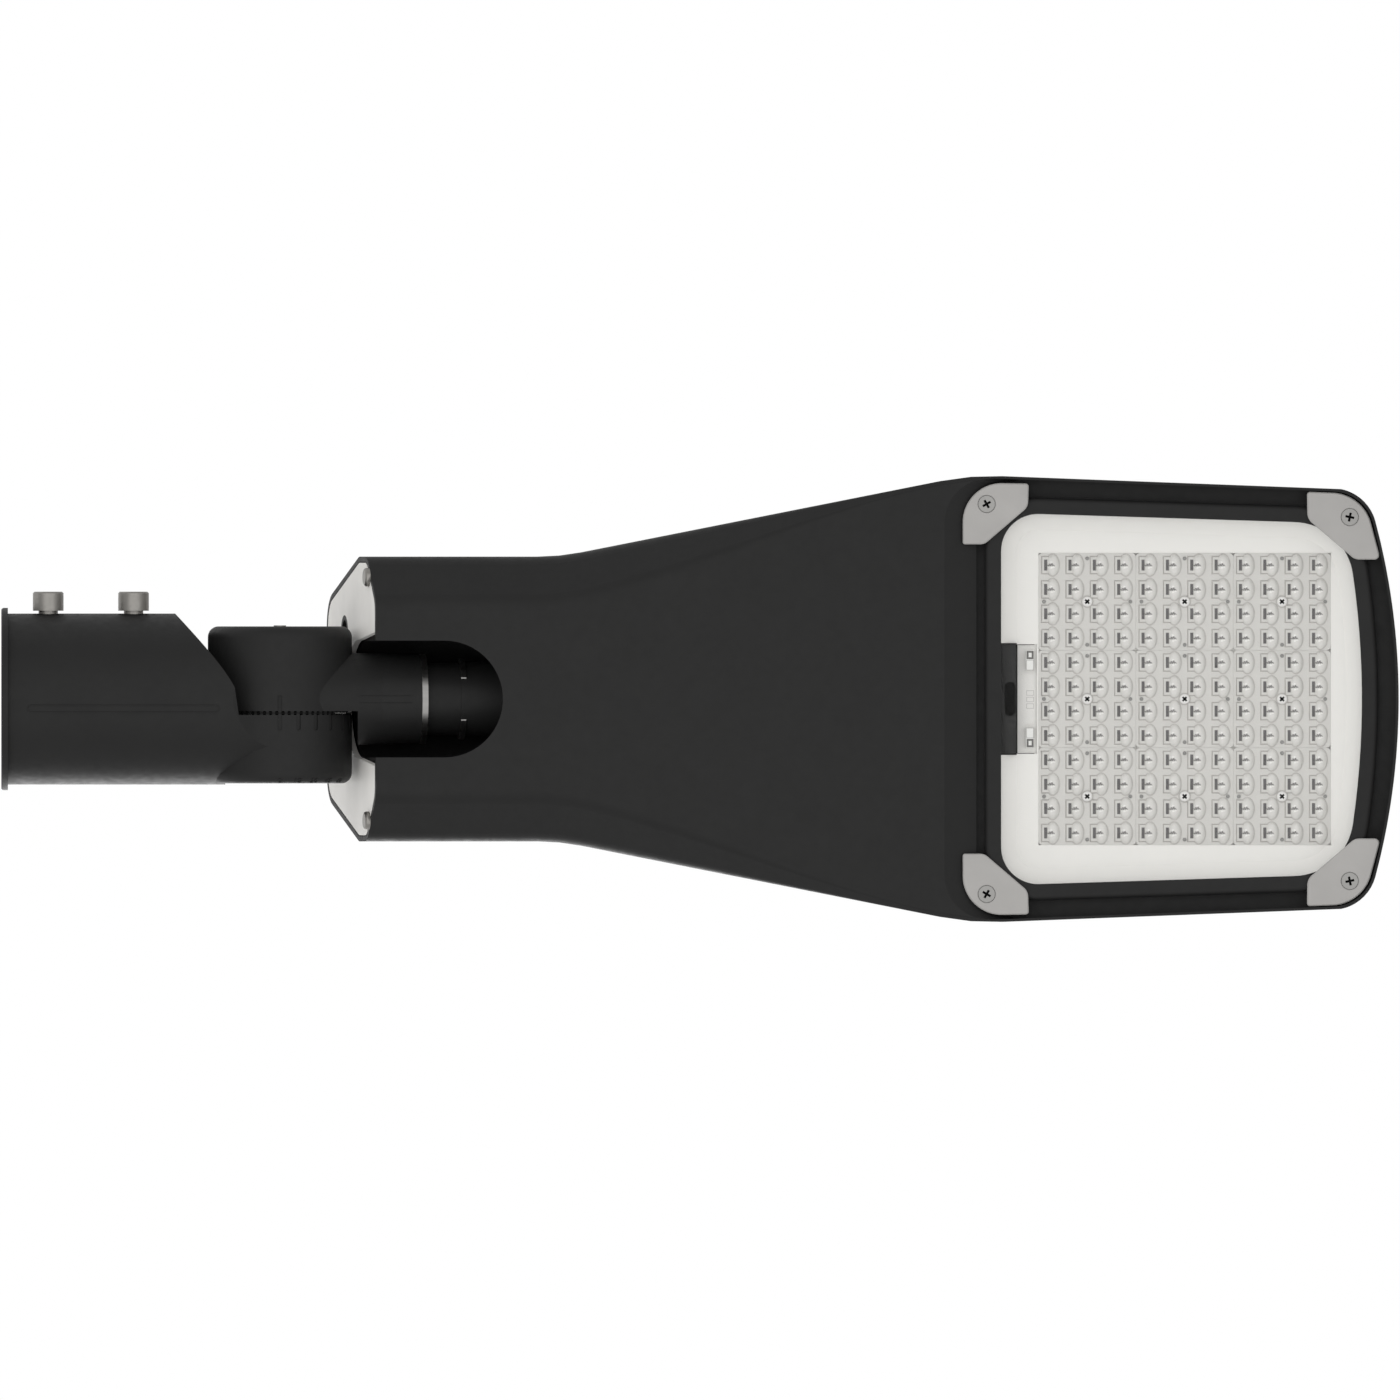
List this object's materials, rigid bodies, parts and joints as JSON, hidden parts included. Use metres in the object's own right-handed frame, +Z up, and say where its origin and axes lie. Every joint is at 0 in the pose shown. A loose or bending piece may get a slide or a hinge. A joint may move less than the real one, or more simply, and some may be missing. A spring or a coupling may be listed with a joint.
{
  "type": "led street light",
  "caption": "Street light with a toothed tilt knuckle over a pole end, a finned cast housing, and glass over plates of lenses.",
  "frame": {"origin": "centre of the pole socket's mouth", "axes": "+X from the pole socket to the head's nose, +Z up, and the light leaves towards -Z"},
  "size_m": [0.7173, 0.2288, 0.1223],
  "materials": {
    "dark_paint": "satin powder coat with a fine grain",
    "screw_steel": "satin",
    "ring_metal": "machined",
    "plate_paint": "satin powder coat",
    "seal_rubber": "matt",
    "dark_plastic": "matt",
    "clear_glass": "clear and polished",
    "white_tray": "matt white",
    "white_board": "satin white solder mask",
    "chip": "satin",
    "white_plastic": "satin",
    "lens_plastic": "clear and polished",
    "corner_silver": "satin",
    "tray_zinc": "zinc plated",
    "driver_case": "satin",
    "surge_case": "matt"
  },
  "bodies": {
    "adapter": {"pole_adapter": "dark_paint", "tilt_washer": "screw_steel"},
    "luminaire": {"knuckle_arm": "dark_paint", "housing": "dark_paint", "glass_frame": "dark_paint", "tilt_bolt": "screw_steel", "arm_bolts": "screw_steel", "end_plate_screws": "screw_steel", "corner_screws": "screw_steel", "lens_screws": "screw_steel", "gear_tray_screws": "screw_steel", "driver_screws": "screw_steel", "arm_ring_front": "ring_metal", "arm_ring_rear": "ring_metal", "end_plate": "plate_paint", "end_plate_gasket": "seal_rubber", "glass_gasket": "seal_rubber", "cable_grommet": "seal_rubber", "breather_plug": "dark_plastic", "cable_guide": "dark_plastic", "cover_glass": "clear_glass", "reflector_tray": "white_tray", "led_board": "white_board", "led_chips": "chip", "wire_connectors": "white_plastic", "terminal_block": "white_plastic", "lens_module_1": "lens_plastic", "lens_module_2": "lens_plastic", "lens_module_3": "lens_plastic", "lens_module_4": "lens_plastic", "lens_module_5": "lens_plastic", "lens_module_6": "lens_plastic", "lens_module_7": "lens_plastic", "lens_module_8": "lens_plastic", "lens_module_9": "lens_plastic", "corner_plate_1": "corner_silver", "corner_plate_2": "corner_silver", "corner_plate_3": "corner_silver", "corner_plate_4": "corner_silver", "gear_tray": "tray_zinc", "led_driver": "driver_case", "surge_protector": "surge_case"},
    "clamp_screw_rear": {"clamp_screw_rear": "screw_steel"},
    "clamp_screw_front": {"clamp_screw_front": "screw_steel"}
  },
  "joints": [
    {"name": "tilt", "type": "hinge", "parent": "adapter", "child": "luminaire", "pos_m": [0.143, 0, 0], "axis": [0, 1, 0], "range_deg": [-60, 60]},
    {"name": "clamp_rear", "type": "slide", "parent": "adapter", "child": "clamp_screw_rear", "axis": [0, -1, 0], "range_m": [-0.0013, 0.004]},
    {"name": "clamp_front", "type": "slide", "parent": "adapter", "child": "clamp_screw_front", "axis": [0, -1, 0], "range_m": [-0.0013, 0.004]}
  ]
}
